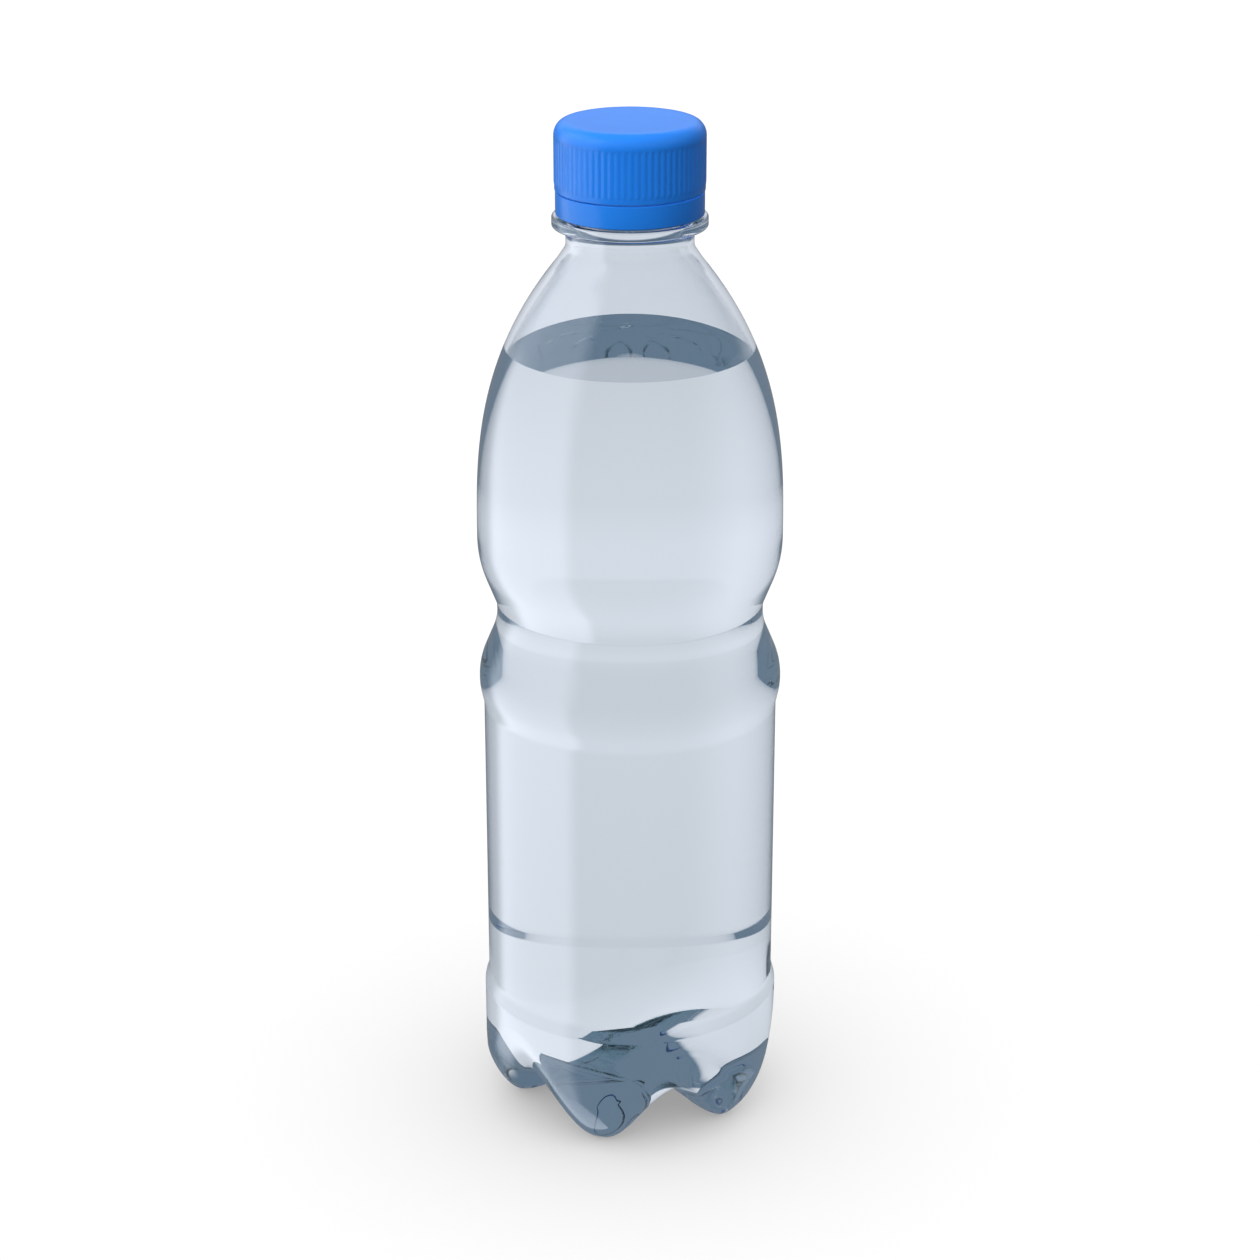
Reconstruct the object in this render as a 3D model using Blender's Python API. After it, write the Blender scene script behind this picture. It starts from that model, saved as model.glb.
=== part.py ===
"""Half-litre drinks bottle with a screw cap, full and standing on its five feet.

Five pieces: a blow-moulded bottle, the drink in it, a ribbed screw cap, the tamper band that
stays on the neck, and the sealing liner under the cap. The origin is on the ground, in the
middle of the feet, +Z is up the bottle's axis and one foot points to -Y.
"""

import math

import bmesh
import bpy
import numpy as np

MM = 0.001

# Clearance between pieces that touch in the real bottle.
GAP = 0.3 * MM
BASE_GAP = 0.5 * MM

# Bottle body. Its wall is thin below and thickens up the shoulder.
BODY_RADIUS = 33.0 * MM
PANEL_RADIUS = 32.1 * MM
WAIST_RADIUS = 28.75 * MM
CREASE_RADIUS = 29.0 * MM
WALL = 0.45 * MM
BASE_WALL = 0.8 * MM
SHOULDER_WALL = 1.7 * MM
SHOULDER_WALL_FROM = 150.0 * MM
SHOULDER_WALL_TO = 190.0 * MM
BASE_TOP = 27.0 * MM
STEP_TOP = 31.2 * MM
PANEL_TOP = 97.0 * MM
MID_BULGE = 101.0 * MM
MID_BULGE_TOP = 105.7 * MM
WAIST = 115.8 * MM
CREASE = 120.4 * MM
UPPER_BULGE = 130.6 * MM

# Shoulder: the radius falls by SHOULDER_DROP * (rise / SHOULDER_SPAN) ** SHOULDER_POWER.
SHOULDER_START = 135.7 * MM
SHOULDER_END = 195.6 * MM
SHOULDER_SPAN = 35.0 * MM
SHOULDER_DROP = 4.0 * MM
SHOULDER_POWER = 2.75
NECK_FOOT = 198.6 * MM

# Neck finish of the common 28 mm kind.
NECK_RADIUS = 13.45 * MM
BORE_RADIUS = 10.87 * MM
BORE_FOOT = 203.5 * MM
NECK_INNER = 12.0 * MM
NECK_INNER_TOP = 201.0 * MM
NECK_INNER_FOOT = 198.2 * MM
RING_RADIUS = 16.35 * MM
RING_BOTTOM = 203.0 * MM
RING_TOP = 205.3 * MM
COLLAR_RADIUS = 12.9 * MM
BEAD_RADIUS = 14.0 * MM
BEAD_CREST_RADIUS = 13.8 * MM
BEAD_BOTTOM = 208.3 * MM
BEAD_EDGE = 208.6 * MM
BEAD_CREST = 209.5 * MM
BEAD_TOP = 210.3 * MM
THREAD_ROOT = 12.47 * MM
THREAD_CREST = 13.7 * MM
THREAD_TOP = 219.6 * MM
THREAD_TURNS = 1.8
THREAD_PITCH = 2.7 * MM
THREAD_WIDTHS = (2.18 * MM, 0.8 * MM)
THREAD_ROOTED = 0.5 * MM
THREAD_END_RISE = 0.4
THREAD_SLOTS = (10, 22, 34)
LIP = 222.6 * MM

# Five feet. A foot is whole over its pad and fades to the valley between two feet. The columns
# are the angles, from a foot's middle, at which the bottle's outline is repeated.
FEET = 5
FOOT_COLUMNS = np.radians((-27.0, -18.5, -10.0, -2.0, 2.0, 10.0, 18.5, 27.0, 36.0))
PAD_HALF_ANGLE = math.radians(2.0)

# Control points (radius, height) of the two outlines of the base, from the dome outwards.
DOME = (3.0 * MM, 6.2 * MM)
FOOT_FLANK = (DOME, (12.0 * MM, 6.2 * MM), (18.5 * MM, 0.0), (23.7 * MM, 0.0))
FOOT_TOE = ((24.6 * MM, 0.0), (28.5 * MM, 0.0), (32.7 * MM, 8.8 * MM), (32.85 * MM, 12.0 * MM))
FOOT_SIDE = (BODY_RADIUS, 20.0 * MM)
VALLEY_FLOOR = (DOME, (10.0 * MM, 6.6 * MM), (18.0 * MM, 7.8 * MM), (24.5 * MM, 12.0 * MM))
VALLEY_RISE = ((28.0 * MM, 13.3 * MM), (30.0 * MM, 14.4 * MM), (32.2 * MM, 19.0 * MM), (32.8 * MM, 24.0 * MM))
VALLEY_SIDE = (32.95 * MM, 25.6 * MM)
BASE_END = (BODY_RADIUS, BASE_TOP)

# Drink.
WATER_LEVEL = 176.6 * MM

# Cap and band.
CAP_RADIUS = 15.8 * MM
CAP_TOP = 225.0 * MM
CAP_EDGE_WIDTH = 2.6 * MM
CAP_EDGE_HEIGHT = 3.1 * MM
CAP_LID = 1.2 * MM
CAP_INNER = 14.05 * MM
CAP_THREAD_CREST = 12.9 * MM
CAP_THREAD_BOTTOM = THREAD_TOP - (THREAD_TURNS + 0.5) * THREAD_PITCH
CAP_THREAD_TURNS = 2.0
CAP_THREAD_WIDTHS = (1.5 * MM, 0.4 * MM)
RIBS = 72
RIB_DEPTH = 0.26 * MM
RIB_END = 0.3 * MM
RIB_BOTTOM = 211.8 * MM
SLIT = 210.6 * MM
BAND_RADIUS = 15.55 * MM
BAND_CHAMFER = (0.3 * MM, 0.4 * MM)
BAND_INNER = 14.35 * MM
BAND_FLAP = 13.3 * MM
BAND_FLAP_TOP = 207.9 * MM
BAND_BEND = 208.1 * MM
BAND_BOTTOM = RING_TOP + GAP
BAND_FLAP_BOTTOM = BAND_BOTTOM + 1.0 * MM
LINER_THICKNESS = 0.6 * MM
LINER_RADIUS = 13.4 * MM

CAP_COLUMNS = 2 * RIBS
BAND_COLUMNS = 60
LINER_COLUMNS = 48
THREAD_STATIONS_PER_TURN = 24


def clear_scene():
    for thing in list(bpy.data.objects):
        bpy.data.objects.remove(thing, do_unlink=True)


def make_material(name, colour, roughness, transmission=0.0, ior=1.5):
    material = bpy.data.materials.new(name)
    material.use_nodes = True
    surface = material.node_tree.nodes["Principled BSDF"]
    surface.inputs["Base Color"].default_value = (*colour, 1.0)
    surface.inputs["Roughness"].default_value = roughness
    surface.inputs["Metallic"].default_value = 0.0
    surface.inputs["Transmission Weight"].default_value = transmission
    surface.inputs["IOR"].default_value = ior
    return material


def add_object(name, mesh_builder, material):
    """Turn a bmesh into a named, smooth-shaded object."""
    mesh_builder.normal_update()
    mesh = bpy.data.meshes.new(name)
    mesh_builder.to_mesh(mesh)
    mesh_builder.free()
    mesh.shade_smooth()
    mesh.set_sharp_from_angle(angle=math.radians(35.0))
    mesh.materials.append(material)
    thing = bpy.data.objects.new(name, mesh)
    bpy.context.collection.objects.link(thing)
    return thing


def bezier(points, steps):
    """Points along a Bezier curve of any degree, both ends included."""
    points = [np.array(point, dtype=float) for point in points]
    degree = len(points) - 1
    curve = []
    for t in np.linspace(0.0, 1.0, steps + 1):
        weights = [math.comb(degree, k) * t**k * (1 - t) ** (degree - k) for k in range(degree + 1)]
        curve.append(sum(weight * point for weight, point in zip(weights, points)))
    return curve


def rounded(corners, steps):
    """A polyline whose corners (radius, height, reach) are rounded over their reach."""
    path = []
    for index, (radius, height, reach) in enumerate(corners):
        corner = np.array((radius, height))
        if reach == 0.0 or index in (0, len(corners) - 1):
            path.append(corner)
            continue
        before = np.array(corners[index - 1][:2]) - corner
        after = np.array(corners[index + 1][:2]) - corner
        start = corner + before / np.linalg.norm(before) * reach
        end = corner + after / np.linalg.norm(after) * reach
        path += bezier((start, corner, end), steps)
    return path


def shoulder_radius(height):
    rise = max(height - SHOULDER_START, 0.0) / SHOULDER_SPAN
    return BODY_RADIUS - SHOULDER_DROP * rise**SHOULDER_POWER


def foot_outline():
    """Outline through the middle of a foot, from the dome to the top of the base."""
    return np.array(bezier(FOOT_FLANK, 4) + bezier(FOOT_TOE, 5) + [FOOT_SIDE, BASE_END])


def valley_outline():
    """Outline along the valley between two feet, with as many points as a foot's."""
    return np.array(bezier(VALLEY_FLOOR, 4) + bezier(VALLEY_RISE, 5) + [VALLEY_SIDE, BASE_END])


def petal_weight():
    """1 over a foot's pad, 0 in the valleys, a cosine step between them, for every column."""
    fade = (abs(FOOT_COLUMNS) - PAD_HALF_ANGLE) / (math.pi / FEET - PAD_HALF_ANGLE)
    return np.tile(0.5 + 0.5 * np.cos(math.pi * np.clip(fade, 0.0, 1.0)), FEET)


def shell_angles():
    """Angles of the bottle's columns, foot by foot, with the first foot towards -Y."""
    feet = -math.pi / 2 + 2 * math.pi * np.arange(FEET) / FEET
    return (feet[:, None] + FOOT_COLUMNS).ravel()


def even_angles(columns):
    return -math.pi / 2 + 2 * math.pi * np.arange(columns) / columns


def turned(path, angles):
    """Grid of points, ring by ring, of an outline turned about the axis."""
    radius, height = np.array(path).T[:, :, None]
    grid = (radius * np.cos(angles), radius * np.sin(angles), height + 0 * angles)
    return np.stack(grid, axis=2)


def petals():
    """Grid of points of the five-footed base, from the dome out to the body."""
    foot = foot_outline()
    valley = valley_outline()
    angles = shell_angles()
    outline = valley[:, None, :] + petal_weight()[None, :, None] * (foot - valley)[:, None, :]
    radius, height = outline[:, :, 0], outline[:, :, 1]
    return np.stack((radius * np.cos(angles), radius * np.sin(angles), height), axis=2)


def inset(grid, depth):
    """Move a grid to its inner side along its own normals; depth has one value per ring."""
    around = np.roll(grid, -1, axis=1) - np.roll(grid, 1, axis=1)
    along = np.gradient(grid, axis=0)
    outward = np.cross(around, along)
    outward /= np.linalg.norm(outward, axis=2)[:, :, None]
    return grid - outward * np.array(depth)[:, None, None]


def add_strip(builder, lower, upper, flipped):
    """Triangles between two loops of vertices; flipped picks the other diagonal."""
    for column in range(len(lower)):
        after = (column + 1) % len(lower)
        corners = (lower[column], lower[after], upper[after], upper[column])
        if flipped:
            corners = corners[1:] + corners[:1]
        builder.faces.new((corners[0], corners[1], corners[2]))
        builder.faces.new((corners[0], corners[2], corners[3]))


def closed_from_rings(grids, start_height, end_height):
    """Join stacked grids, closing both ends with a fan to a point on the axis.

    The last grid is the inner side, so its diagonals are flipped to lie behind the outer ones.
    """
    builder = bmesh.new()
    rings = [ring for grid in grids for ring in grid]
    inner_start = len(rings) - len(grids[-1]) if len(grids) > 1 else len(rings)
    loops = [[builder.verts.new(point) for point in ring] for ring in rings]
    for index in range(len(loops) - 1):
        add_strip(builder, loops[index], loops[index + 1], index >= inner_start)
    start = builder.verts.new((0.0, 0.0, start_height))
    end = builder.verts.new((0.0, 0.0, end_height))
    columns = len(rings[0])
    for column in range(columns):
        after = (column + 1) % columns
        builder.faces.new((start, loops[0][after], loops[0][column]))
        builder.faces.new((end, loops[-1][column], loops[-1][after]))
    return builder


def closed_ring(grid):
    """Join rings with quads, and the last ring to the first, for a body with a hole."""
    builder = bmesh.new()
    loops = [[builder.verts.new(point) for point in ring] for ring in grid]
    for lower, upper in zip(loops, loops[1:] + loops[:1]):
        add_strip(builder, lower, upper, False)
    return builder


def body_outline(steps):
    """Outer outline from the top of the base to the foot of the neck."""
    lower = rounded(
        (
            (BODY_RADIUS, BASE_TOP, 0),
            (BODY_RADIUS, BASE_TOP + 1.2 * MM, 1.0 * MM),
            (PANEL_RADIUS, STEP_TOP, 1.0 * MM),
            (PANEL_RADIUS, PANEL_TOP, 0.6 * MM),
            (BODY_RADIUS, MID_BULGE, 1.5 * MM),
            (BODY_RADIUS, MID_BULGE_TOP, 3.0 * MM),
            (WAIST_RADIUS, WAIST, 3.2 * MM),
            (CREASE_RADIUS, CREASE, 0),
            (BODY_RADIUS, UPPER_BULGE, 4.5 * MM),
            (BODY_RADIUS, SHOULDER_START, 0),
        ),
        steps,
    )
    heights = np.linspace(SHOULDER_START, SHOULDER_END, 9)[1:]
    shoulder = [np.array((shoulder_radius(height), height)) for height in heights]
    neck = rounded(
        (
            (*shoulder[-1], 0),
            (NECK_RADIUS, NECK_FOOT, 0.8 * MM),
            (NECK_RADIUS, RING_BOTTOM, 0),
        ),
        steps,
    )
    return lower + shoulder + neck[1:]


def finish_outline():
    """Outer outline of the neck finish, over the lip and down the bore into the wider neck."""
    return rounded(
        (
            (NECK_RADIUS, RING_BOTTOM, 0),
            (RING_RADIUS, RING_BOTTOM, 0.9 * MM),
            (RING_RADIUS, RING_TOP, 0.9 * MM),
            (COLLAR_RADIUS, RING_TOP, 0),
            (COLLAR_RADIUS, BEAD_BOTTOM, 0),
            (BEAD_RADIUS, BEAD_EDGE, 0),
            (BEAD_CREST_RADIUS, BEAD_CREST, 0),
            (THREAD_ROOT, BEAD_TOP, 0),
            (THREAD_ROOT, LIP, 0.5 * MM),
            (BORE_RADIUS, LIP, 0.3 * MM),
            (BORE_RADIUS, BORE_FOOT, 0),
            (NECK_INNER, NECK_INNER_TOP, 0),
            (NECK_INNER, NECK_INNER_FOOT, 0),
        ),
        1,
    )[1:]


def wall_at(height):
    """Wall thickness up the body: thin below, thickening up the shoulder by 3 t^2 - 2 t^3."""
    t = np.clip((height - SHOULDER_WALL_FROM) / (SHOULDER_WALL_TO - SHOULDER_WALL_FROM), 0.0, 1.0)
    return WALL + (SHOULDER_WALL - WALL) * t**2 * (3.0 - 2.0 * t)


def inner_outline(top, clearance):
    """Inner outline of the body from the base up to a height, moved in by a clearance."""
    return [
        np.array((radius - wall_at(height) - clearance, height))
        for radius, height in body_outline(1)
        if BASE_TOP < height < top
    ]


def base_depths(clearance):
    """Depth of the inner side of each ring of the base: thicker in the middle."""
    rings = len(foot_outline())
    return np.linspace(BASE_WALL, WALL, rings) + clearance


def thread_ridge(radii, bottom, turns, widths, slots=()):
    """Helical ridge with a four-sided section, tapered at its ends.

    radii are the buried and the free one and widths go with them. slots are the stations at
    which the ridge is broken off and starts again one station later.
    """
    root, crest = radii
    root_half, crest_half = widths[0] / 2, widths[1] / 2
    builder = bmesh.new()
    starts = (0, *(slot + 1 for slot in slots))
    stops = (*slots, round(turns * THREAD_STATIONS_PER_TURN))
    for start, stop in zip(starts, stops):
        ring_before = None
        for station in range(start, stop + 1):
            angle = 2 * math.pi * station / THREAD_STATIONS_PER_TURN
            height = bottom + THREAD_PITCH * station / THREAD_STATIONS_PER_TURN
            rise = THREAD_END_RISE if station in (start, stop) else 1.0
            free = root + (crest - root) * rise
            section = (
                (root, height - root_half),
                (free, height - crest_half),
                (free, height + crest_half),
                (root, height + root_half),
            )
            ring = [
                builder.verts.new((radius * math.cos(angle), radius * math.sin(angle), z))
                for radius, z in section
            ]
            if ring_before:
                add_strip(builder, ring_before, ring, False)
            else:
                builder.faces.new(ring)
            ring_before = ring
        builder.faces.new(ring_before[::-1])
    bmesh.ops.recalc_face_normals(builder, faces=builder.faces)
    return builder


def unite(thing, tool):
    """Join a helper shape to an object with a live Boolean."""
    tool.hide_render = True
    tool.display_type = "WIRE"
    join = thing.modifiers.new("join " + tool.name, "BOOLEAN")
    join.operation = "UNION"
    join.solver = "EXACT"
    join.object = tool


def build_shell(material):
    """Bottle: outer base, body and neck finish, then the bore and the inner faces back down."""
    base = petals()
    outside = turned(body_outline(2)[1:] + finish_outline(), shell_angles())
    inner_body = turned(inner_outline(SHOULDER_END + GAP, 0.0)[::-1], shell_angles())
    inner_base = inset(base, base_depths(0.0))[::-1]
    inside = np.concatenate((inner_body, inner_base))
    builder = closed_from_rings((base, outside, inside), DOME[1], DOME[1] + BASE_WALL)
    shell = add_object("bottle_shell", builder, material)
    bottom = THREAD_TOP - THREAD_TURNS * THREAD_PITCH
    ridge = thread_ridge(
        (THREAD_ROOT - THREAD_ROOTED, THREAD_CREST), bottom, THREAD_TURNS, THREAD_WIDTHS, THREAD_SLOTS
    )
    unite(shell, add_object("neck_thread_guide", ridge, material))
    return shell


def build_water(material):
    """Drink: the inside of the bottle up to the level, a clearance away from the wall."""
    base = inset(petals(), base_depths(BASE_GAP))
    radii, heights = np.array(inner_outline(SHOULDER_END, GAP)).T
    surface = np.array((np.interp(WATER_LEVEL, heights, radii), WATER_LEVEL))
    path = inner_outline(WATER_LEVEL, GAP) + [surface]
    column = np.concatenate((base, turned(path, shell_angles())))
    builder = closed_from_rings((column,), DOME[1] + BASE_WALL + BASE_GAP, WATER_LEVEL)
    return add_object("water", builder, material)


def build_cap(material):
    """Cap: ribbed skirt, rounded edge, flat top, and the thread inside."""
    skirt_bottom = SLIT + GAP / 2
    ceiling = CAP_TOP - CAP_LID
    rib_top = CAP_TOP - CAP_EDGE_HEIGHT
    groove = CAP_RADIUS - RIB_DEPTH
    angles = even_angles(CAP_COLUMNS)
    inside_and_skirt = (
        (CAP_INNER, ceiling),
        (CAP_INNER, skirt_bottom),
        (groove, skirt_bottom),
        (groove, RIB_BOTTOM),
    )
    ribs = turned(((CAP_RADIUS, RIB_BOTTOM + RIB_END), (CAP_RADIUS, rib_top - RIB_END)), angles)
    ribs[:, 1::2, :2] *= groove / CAP_RADIUS
    turn = np.linspace(0.0, math.pi / 2, 5)
    edge_radius = CAP_RADIUS - CAP_EDGE_WIDTH * (1 - np.cos(turn))
    edge_height = rib_top + CAP_EDGE_HEIGHT * np.sin(turn)
    edge = turned(np.stack((edge_radius, edge_height), axis=1), angles)
    surface = np.concatenate((turned(inside_and_skirt, angles), ribs, edge))
    cap = add_object("screw_cap", closed_from_rings((surface,), ceiling, CAP_TOP), material)
    ridge = thread_ridge(
        (CAP_INNER + THREAD_ROOTED, CAP_THREAD_CREST), CAP_THREAD_BOTTOM, CAP_THREAD_TURNS, CAP_THREAD_WIDTHS
    )
    unite(cap, add_object("cap_thread_guide", ridge, material))
    return cap


def build_band(material):
    """Tamper band: a ring whose inner lip is caught under the neck's bead."""
    top = SLIT - GAP / 2
    path = (
        (BAND_RADIUS - BAND_CHAMFER[0], BAND_BOTTOM),
        (BAND_RADIUS, BAND_BOTTOM + BAND_CHAMFER[1]),
        (BAND_RADIUS, top),
        (BAND_INNER, top),
        (BAND_INNER, BAND_BEND),
        (BAND_FLAP, BAND_FLAP_TOP),
        (BAND_FLAP, BAND_FLAP_BOTTOM),
        (BAND_INNER, BAND_BOTTOM),
    )
    return add_object("tamper_band", closed_ring(turned(path, even_angles(BAND_COLUMNS))), material)


def build_liner(material):
    """Sealing disc between the mouth and the cap's lid."""
    bottom = LIP + GAP
    path = ((LINER_RADIUS, bottom), (LINER_RADIUS, bottom + LINER_THICKNESS))
    builder = closed_from_rings((turned(path, even_angles(LINER_COLUMNS)),), bottom, bottom + LINER_THICKNESS)
    return add_object("cap_liner", builder, material)


def main():
    clear_scene()
    clear_pet = make_material("clear blow-moulded PET", (0.80, 0.87, 0.94), 0.03, 1.0, 1.57)
    drink = make_material("still water", (0.86, 0.92, 0.97), 0.0, 1.0, 1.33)
    blue_hdpe = make_material("blue moulded HDPE", (0.02, 0.17, 0.66), 0.38)
    liner_foam = make_material("white foamed liner", (0.82, 0.84, 0.85), 0.6)
    build_shell(clear_pet)
    build_water(drink)
    build_cap(blue_hdpe)
    build_band(blue_hdpe)
    build_liner(liner_foam)


main()
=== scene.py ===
"""Looks of the half-litre drinks bottle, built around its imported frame.

Every piece is one closed surface of revolution, or nearly one: a grid of rings up an outline and
columns round the axis. The feet, the ribs and the threads are written into the rings.
"""

import math

import bpy
import numpy as np
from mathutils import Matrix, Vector


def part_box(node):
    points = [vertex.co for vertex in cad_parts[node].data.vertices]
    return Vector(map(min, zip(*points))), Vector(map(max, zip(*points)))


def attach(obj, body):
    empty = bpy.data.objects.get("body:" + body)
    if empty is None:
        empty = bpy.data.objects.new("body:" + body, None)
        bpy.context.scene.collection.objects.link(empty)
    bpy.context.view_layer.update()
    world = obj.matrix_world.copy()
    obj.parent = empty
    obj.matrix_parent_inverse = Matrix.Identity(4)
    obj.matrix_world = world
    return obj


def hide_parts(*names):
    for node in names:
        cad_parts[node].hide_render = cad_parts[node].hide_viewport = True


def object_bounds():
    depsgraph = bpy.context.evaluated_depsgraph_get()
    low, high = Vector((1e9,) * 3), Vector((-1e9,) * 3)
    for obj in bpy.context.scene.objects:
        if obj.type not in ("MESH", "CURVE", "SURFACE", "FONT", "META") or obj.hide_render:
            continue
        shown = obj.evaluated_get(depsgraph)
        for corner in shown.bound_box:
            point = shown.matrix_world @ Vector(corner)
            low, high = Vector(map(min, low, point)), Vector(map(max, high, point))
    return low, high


MM = 0.001
TURN = 2 * math.pi

# Angle of the first column, where a foot, a rib and the start of the thread face the front.
FRONT = -math.pi / 2

# Radius of the ring that a fan closes at a pole, and the colour output of a Mix node.
POLE_RADIUS = 0.3 * MM
MIXED = 2

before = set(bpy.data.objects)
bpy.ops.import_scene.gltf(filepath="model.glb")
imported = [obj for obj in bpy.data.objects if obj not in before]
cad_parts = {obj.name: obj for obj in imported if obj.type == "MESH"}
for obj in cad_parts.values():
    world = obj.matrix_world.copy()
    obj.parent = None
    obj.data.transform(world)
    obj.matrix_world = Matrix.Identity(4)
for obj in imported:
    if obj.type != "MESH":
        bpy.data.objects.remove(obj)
cad_low, cad_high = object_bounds()

# Sizes read from the frame.
BODY_RADIUS = min(-cad_low.x, cad_high.x, -cad_low.y, cad_high.y)
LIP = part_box("bottle_shell")[1].z
WATER_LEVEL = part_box("water")[1].z
CAP_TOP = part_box("screw_cap")[1].z
CAP_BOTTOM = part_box("screw_cap")[0].z
CAP_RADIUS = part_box("screw_cap")[1].x
BAND_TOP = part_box("tamper_band")[1].z
BAND_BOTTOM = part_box("tamper_band")[0].z
BAND_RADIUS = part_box("tamper_band")[1].x
LINER_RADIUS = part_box("cap_liner")[1].x
LINER_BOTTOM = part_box("cap_liner")[0].z
LINER_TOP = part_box("cap_liner")[1].z

# Body, from the base upwards.
WALL = 0.45 * MM
BASE_WALL = 0.8 * MM
SHOULDER_WALL = 1.7 * MM
SHOULDER_WALL_FROM = 150.0 * MM
SHOULDER_WALL_TO = 190.0 * MM
BASE_TOP = 27.0 * MM
STEP_FOOT = 28.2 * MM
STEP_TOP = 31.2 * MM
PANEL_RADIUS = BODY_RADIUS - 0.9 * MM
PANEL_TOP = 97.0 * MM
MID_BULGE = 101.0 * MM
MID_BULGE_TOP = 105.7 * MM
WAIST_RADIUS = 28.75 * MM
WAIST = 115.8 * MM
CREASE_RADIUS = 29.0 * MM
CREASE = 120.4 * MM
UPPER_BULGE = 130.6 * MM
SHOULDER_START = 135.7 * MM
SHOULDER_END = 195.6 * MM
SHOULDER_SPAN = 35.0 * MM
SHOULDER_DROP = 4.0 * MM
SHOULDER_POWER = 2.75
NECK_FOOT = 198.6 * MM

# Neck finish. The thread is a helix of turns of a pitch, and fades in over a part of a turn.
NECK_RADIUS = 13.45 * MM
BORE_RADIUS = 10.87 * MM
BORE_FOOT = 203.5 * MM
NECK_INNER = 12.0 * MM
NECK_INNER_TOP = 201.0 * MM
NECK_INNER_FOOT = 198.2 * MM
RING_RADIUS = 16.35 * MM
RING_BOTTOM = 203.0 * MM
RING_TOP = 205.3 * MM
COLLAR_RADIUS = 12.9 * MM
BEAD_RADIUS = 14.0 * MM
BEAD_CREST_RADIUS = 13.8 * MM
BEAD_BOTTOM = 208.3 * MM
BEAD_EDGE = 208.6 * MM
BEAD_CREST = 209.5 * MM
BEAD_TOP = 210.3 * MM
THREADED_FROM = 210.6 * MM
THREADED_TO = LIP - 0.5 * MM
THREAD_ROOT = 12.47 * MM
THREAD_CREST = 13.7 * MM
THREAD_PITCH = 2.7 * MM
THREAD_TURNS = 1.8
THREAD_BOTTOM = 219.6 * MM - THREAD_TURNS * THREAD_PITCH
THREAD_FLAT = 0.8 * MM
THREAD_FOOT = 1.78 * MM
THREAD_FADE = 1 / 14

# Base: control points of the outline through a foot, then of the one through the valley beside it.
FEET = 5
PAD_HALF_ANGLE = math.radians(2.0)
DOME = (POLE_RADIUS, 6.2 * MM)
FOOT_FLANK = (DOME, (12.0 * MM, 6.2 * MM), (18.5 * MM, 0.0), (23.7 * MM, 0.0))
FOOT_TOE = ((24.6 * MM, 0.0), (28.5 * MM, 0.0), (32.7 * MM, 8.8 * MM), (32.85 * MM, 12.0 * MM))
FOOT_SIDE = (BODY_RADIUS, 15.0 * MM)
VALLEY_FLOOR = (DOME, (10.0 * MM, 6.6 * MM), (18.0 * MM, 7.8 * MM), (24.5 * MM, 12.0 * MM))
VALLEY_TOP = (32.8 * MM, 24.0 * MM)
VALLEY_RISE = ((28.0 * MM, 13.3 * MM), (30.0 * MM, 14.4 * MM), (32.2 * MM, 19.0 * MM), VALLEY_TOP)
VALLEY_SIDE = (32.9 * MM, 24.5 * MM)
BASE_END = (BODY_RADIUS, BASE_TOP)

# Drink: how far its side is let into the wall, and the spacing of its surface's rings.
WATER_SUNK = 0.05 * MM
WATER_RINGS = 4.0 * MM

# Cap.
RIBS = 72
RIB_DEPTH = 0.11 * MM
RIB_BOTTOM = 211.8 * MM
RIB_TOP = 221.9 * MM
RIB_FADE_BELOW = 0.5 * MM
RIB_FADE_ABOVE = 0.7 * MM
RIB_FULLNESS = 0.8
CAP_EDGE_WIDTH = 2.6 * MM
CAP_LID = 1.2 * MM
CAP_DISH = 0.1 * MM
CAP_INNER = 14.05 * MM
CAP_THREADED_FROM = CAP_TOP - CAP_LID - 1.0 * MM
CAP_THREADED_TO = CAP_BOTTOM + 0.4 * MM
CAP_THREAD_CREST = 12.9 * MM
CAP_THREAD_BOTTOM = THREAD_BOTTOM - THREAD_PITCH / 2
CAP_THREAD_FLAT = 0.4 * MM
CAP_THREAD_FOOT = 1.2 * MM
CAP_THREAD_TURNS = 2.0

# Band and liner.
BAND_INNER = 14.35 * MM
BAND_BEND = 208.1 * MM
BAND_FLAP = 13.3 * MM
BAND_FLAP_TOP = 207.9 * MM
BAND_FLAP_BOTTOM = BAND_BOTTOM + 1.0 * MM
LINER_PRESS = 0.12 * MM
LINER_PRESS_WIDTH = 0.7 * MM

# Fineness of the surfaces: columns round the axis, steps along a curve and spacing of rings.
BOTTLE_COLUMNS = 40 * FEET
CAP_COLUMNS = 8 * RIBS
BAND_COLUMNS = 240
LINER_COLUMNS = 120
BASE_STEPS = 22
SMALL_STEPS = 5
HEM_STEPS = 4
THREAD_RINGS = 0.2 * MM
RIB_RINGS = 0.35 * MM

# Fineness of the materials' patterns, in waves, grains or cells to a metre. The mould's grain is finer
# than this on a real cap, and is drawn coarse enough to show.
PET_WAVES = 45.0
WATER_SWELLS = 40.0
BLUE_CLOUDS = 160.0
MOULD_GRAINS = 2500.0
FOAM_CELLS = 2200.0

# Bending of light. The wall's wetted face bends it by the ratio of the two, and the water's side by
# nothing, so that light turns once where PET and water meet.
PET_IOR = 1.57
WATER_IOR = 1.385

# Camera: where it stands, seen from the bottle, and its lens on a sensor of a width, both in mm.
CAMERA_AZIMUTH = math.radians(14.4)
CAMERA_DISTANCE = 614.4 * MM
CAMERA_HEIGHT = 354.6 * MM
LOOK_AT_HEIGHT = 112.6 * MM
LENS = 86.3
SENSOR = 36.0

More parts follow.
